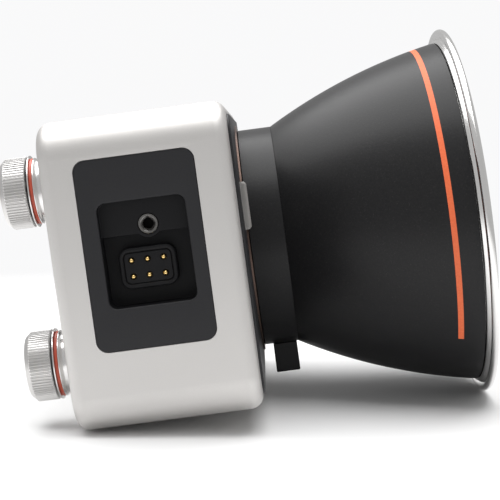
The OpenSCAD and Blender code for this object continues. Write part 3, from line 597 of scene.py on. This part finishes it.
def ridged(profile, depth, count, per_ridge=8, centre=(0, 0)):
    """Radius = profile - depth * wave(angle), where the wave is 1 in a groove and 0 on a ridge's flat top."""
    profile, depth = np.asarray(profile, float), np.asarray(depth, float)[:, None]
    angle = np.arange(count * per_ridge) * 2 * np.pi / (count * per_ridge)
    wave = np.clip(0.5 + 1.1 * np.cos(count * angle), 0, 1)[None, :]
    radius = profile[:, 1:] - depth * wave
    along = np.broadcast_to(profile[:, :1], radius.shape)
    return np.stack([along, centre[0] + radius * np.cos(angle), centre[1] + radius * np.sin(angle)], -1)


for side in ("upper", "lower"):
    low, high = box_mm("knob_" + side)
    y, z = (low[1] + high[1]) / 2, (low[2] + high[2]) / 2
    back, front, r = low[0], high[0], 8.65
    side_profile = [(front, r - 2.2, 0), (front, r - 0.30, 0), (front - 0.18, r - 0.05, 0.2), (front - 0.35, r, 1),
                    (back + 1.45, r, 1), (back + 1.22, r - 0.06, 0.5), (back + 1.12, r - 0.28, 0), (back + 1.0, r - 0.34, 0),
                    (back + 0.25, r - 0.98, 0), (back + 0.05, r - 1.18, 0), (back, r - 1.45, 0), (back, r - 2.0, 0),
                    (back + 0.08, r - 2.25, 0), (back + 0.45, r - 2.75, 0), (back + 0.5, r - 3.1, 0), (back + 0.5, 0.001, 0),
                    (back + 1.5, 0.001, 0), (back + 1.5, 2.62, 0), (front - 2.5, 2.62, 0), (front - 2.5, r - 2.2, 0)]
    side_profile = np.array(side_profile)
    grid = ridged(side_profile[:, :2], side_profile[:, 2] * GROOVE, RIDGES, centre=(y, z))
    stand_in(piece("dial_" + side, solid("dial_" + side, grid), 28), "knob_" + side)
    low, high = box_mm("knob_collar_" + side)
    base, thin, tip = high[0], low[0], low[0] + 0.35
    ring_back = base - 3
    collar_r, flange_r, core_r, bush_r = 8.1, 8.75, 7.2, 3.5
    collar = rounded([(base, bush_r), (base, collar_r - 0.15), (base - 0.9, collar_r - 0.5), (base - 2.1, collar_r - 0.5), (ring_back + 0.3, collar_r),
                      (ring_back, collar_r), (ring_back, core_r), (tip, core_r), (tip, flange_r), (thin, flange_r), (thin, bush_r)],
                     [0, 0.25, 0.6, 0.6, 0.25, 0.15, 0, 0, 0.12, 0.12, 0], 5)
    stand_in(piece("dial_seat_" + side, solid("dial_seat_" + side, turned(collar, 128, (y, z))), 30), "knob_collar_" + side)
    low, high = box_mm("knob_ring_" + side)
    band = rounded([(high[0], 7.25), (high[0], 8.0), (low[0], 8.0), (low[0], 7.25)], [0, 0.2, 0.2, 0], 5)
    stand_in(piece("dial_band_" + side, solid("dial_band_" + side, turned(band, 128, (y, z))), 30), "knob_ring_" + side)
print("each dial has", RIDGES, "ridges", GROOVE, "mm deep")

# %% [markdown]
# ## The dock
# The dock is a dark plate with a sunken cup. In the cup are a threaded hole for a grip and a block of six
# gold spring contacts inside a soft collar. Plate, block and collar are stacks of rounded outlines, each a
# little smaller than the last, so that their edges are truly round. The pins are turned, with domed tips.

# %% Dock plate, block, collar, pins and threaded insert
DOCK_X, DOCK_Z, FACE_Y = -23.8, 4.5, -65.9
turn = np.linspace(0, 1, 5) * np.pi / 2


def stack(levels):
    """Loops of the same number of points, each a flat outline at its own depth."""
    return np.stack([at_depth(outline(*spec), y) for y, spec in levels])


edge = 0.22
levels = [(FACE_Y + 0.9, (DOCK_X, DOCK_Z, 28.3, 45, 2.8)), (FACE_Y + edge, (DOCK_X, DOCK_Z, 28.3, 45, 2.8))]
levels += [(FACE_Y + edge - edge * math.sin(t), (DOCK_X, DOCK_Z, 28.3 - 2 * edge * (1 - math.cos(t)), 45 - 2 * edge * (1 - math.cos(t)), 2.8 - edge * (1 - math.cos(t)))) for t in turn[1:]]
lip = 0.35
hole = (DOCK_X + 0.4, DOCK_Z - 0.3, 20.7, 24.8, 2.0)
levels += [(FACE_Y + lip * (1 - math.cos(t)), (hole[0], hole[1], hole[2] + 2 * lip * (1 - math.sin(t)), hole[3] + 2 * lip * (1 - math.sin(t)), 2.0 + lip * (1 - math.sin(t)))) for t in turn]
levels += [(FACE_Y + 0.9, hole)]
stand_in(piece("dock_face", solid("dock_face", stack(levels)), 40), "dock_plate")

low, high = box_mm("contact_block")
block_x, block_z = (low[0] + high[0]) / 2, (low[2] + high[2]) / 2
low, high = box_mm("contact_collar")
soft, width, height = 0.62, 11.1 + 2.6, 7.2 + 2.6
levels = [(high[1], (block_x, block_z, width, height, 2.5)), (low[1] + soft, (block_x, block_z, width, height, 2.5))]
full = np.linspace(0, 1, 12) * np.pi
levels += [(low[1] + soft * (1 - math.sin(t)), (block_x, block_z, width - 2 * soft * (1 - math.cos(t)), height - 2 * soft * (1 - math.cos(t)), 2.5 - soft * (1 - math.cos(t)))) for t in full[1:]]
levels += [(high[1], (block_x, block_z, width - 4 * soft, height - 4 * soft, 2.5 - 2 * soft))]
stand_in(piece("contact_rim", solid("contact_rim", stack(levels)), 40), "contact_collar")
softened("contact_block", 0.12)

low, high = box_mm("contact_pins")
pin_y, pin_end, pin_r = low[1], high[1], 0.6
pin = [(pin_end, 0), (pin_end, pin_r)] + [(pin_y + 0.62 - 0.62 * math.sin(t), pin_r * math.cos(t)) for t in np.linspace(0, np.pi / 2, 7)]
grids = [turned(pin, 24, (x, z), "y") for x in (low[0] + 0.6, (low[0] + high[0]) / 2, high[0] - 0.6) for z in (low[2] + 0.6, high[2] - 0.6)]
pins = [solid("pin", g, closed=False) for g in grids]
joined = bmesh.new()
for mesh in pins:
    joined.from_mesh(mesh)
pin_mesh = bpy.data.meshes.new("contact_tips")
joined.to_mesh(pin_mesh)
joined.free()
stand_in(piece("contact_tips", cleaned(pin_mesh), 40), "contact_pins")
print(len(pins), "spring pins of", 2 * pin_r, "mm")

# %% [markdown]
# The threaded insert is brass with a bright plating. Its bore has a real thread: the radius is the bore's,
# plus a triangle wave that moves one pitch along the axis for each turn, which is what a helix is.

# %% Threaded insert
low, high = box_mm("dock_thread_insert")
x0, z0 = (low[0] + high[0]) / 2, (low[2] + high[2]) / 2
PITCH, BORE, DEPTH, OUTER = 0.5, 1.28, 0.24, 2.4
columns = 96
angle = np.arange(columns) * 2 * np.pi / columns
depth = np.linspace(low[1] + 0.62, high[1] - 0.1, 76)[:, None]
phase = np.mod(depth / PITCH - angle / (2 * np.pi), 1.0)
bore = BORE + DEPTH * (1 - np.abs(2 * phase - 1))
thread = np.stack([x0 + bore * np.cos(angle), np.broadcast_to(depth, bore.shape), z0 + bore * np.sin(angle)], -1)
mouth = turned([(low[1] + 0.5, BORE + 0.05), (low[1] + 0.06, BORE + 0.5), (low[1], BORE + 0.6), (low[1], OUTER - 0.15),
                (low[1] + 0.15, OUTER), (high[1], OUTER), (high[1], BORE + 0.1)], columns, (x0, z0), "y")
stand_in(piece("thread_insert", solid("thread_insert", np.vstack([thread[::-1], mouth])), 30), "dock_thread_insert")
print("thread of pitch", PITCH, "mm")

# %% [markdown]
# ## The kept nodes
# Every other node keeps its CAD mesh and takes the finish of its slot. Most of them are inside.

# %% Finishes for the kept nodes
kept = 0
for name, node in nodes.items():
    if node.hide_render:
        continue
    material = Finish.made[slot_of[name]].material
    for place in node.material_slots:
        place.material = material
    if not node.material_slots:
        node.data.materials.append(material)
    kept += 1
print(kept, "nodes keep their mesh")

# %% [markdown]
# ## Floor and light
# The light lies on a white sweep under one large soft light from above, with the white room all round.
# The side towards the camera is a little darker, which gives the black cone its shape. The floor is the
# plane through the box's lower back edge and the lowest point of the rim.

# %% Floor, light and surroundings
back_edge = Vector((-46.1 + 0.9, 0, -37 + 0.1)) * MM
lean = math.atan2(50.4 - 37.0, 59.0 + 45.4)
normal = Vector((math.sin(lean), 0, math.cos(lean)))
across = Vector((math.cos(lean), 0, -math.sin(lean)))
rings = np.geomspace(0.02, 0.45, 24)
angle = np.arange(96) * 2 * np.pi / 96
centre = np.array(back_edge) + np.array(across) * 0.05 - np.array(normal) * 0.0004
disc = centre + rings[:, None, None] * (np.cos(angle)[:, None] * np.array(across) + np.sin(angle)[:, None] * np.array([0, 1, 0]))
disc = np.concatenate([np.broadcast_to(centre, (1, 96, 3)), disc])
floor_mesh = solid("floor", disc / MM, closed=False)
floor = piece("floor", floor_mesh)
sweep = Finish("sweep_white", (0.86, 0.86, 0.86), 0.55)
x, y, z = sweep.axes(tuple(centre / MM))
radius = (x * x + y * y) ** 0.5
fade = ((radius - 150) / 240).apply("MINIMUM", 1.0).apply("MAXIMUM", 0.0)
sweep.give("Alpha", 1 - fade)
floor.data.materials.append(sweep.material)


def softbox(name, place, target, size, power):
    """A square area light of size metres that faces a target."""
    light = bpy.data.lights.new(name, "AREA")
    light.shape, light.size, light.size_y, light.energy = "RECTANGLE", size[0], size[1], power
    lamp = bpy.data.objects.new(name, light)
    bpy.context.scene.collection.objects.link(lamp)
    lamp.matrix_world = looking(Vector(place), Vector(target), 0)
    return lamp


softbox("light_above", (0.02, 0.05, 0.62), (0, 0, 0), (0.9, 0.8), 9)
world = bpy.data.worlds.new("room")
bpy.context.scene.world = world
world.use_nodes = True
room = world.node_tree
background = room.nodes["Background"]
background.inputs["Color"].default_value = (1, 1, 1, 1)
background.inputs["Strength"].default_value = 0.55
seen = room.nodes.new("ShaderNodeBackground")
seen.inputs["Color"].default_value = (0.95, 0.95, 0.955, 1)
either = room.nodes.new("ShaderNodeMixShader")
path = room.nodes.new("ShaderNodeLightPath")
room.links.new(path.outputs["Is Camera Ray"], either.inputs[0])
room.links.new(background.outputs[0], either.inputs[1])
room.links.new(seen.outputs[0], either.inputs[2])
room.links.new(either.outputs[0], room.nodes["World Output"].inputs["Surface"])
bpy.context.scene.view_settings.view_transform = "Standard"
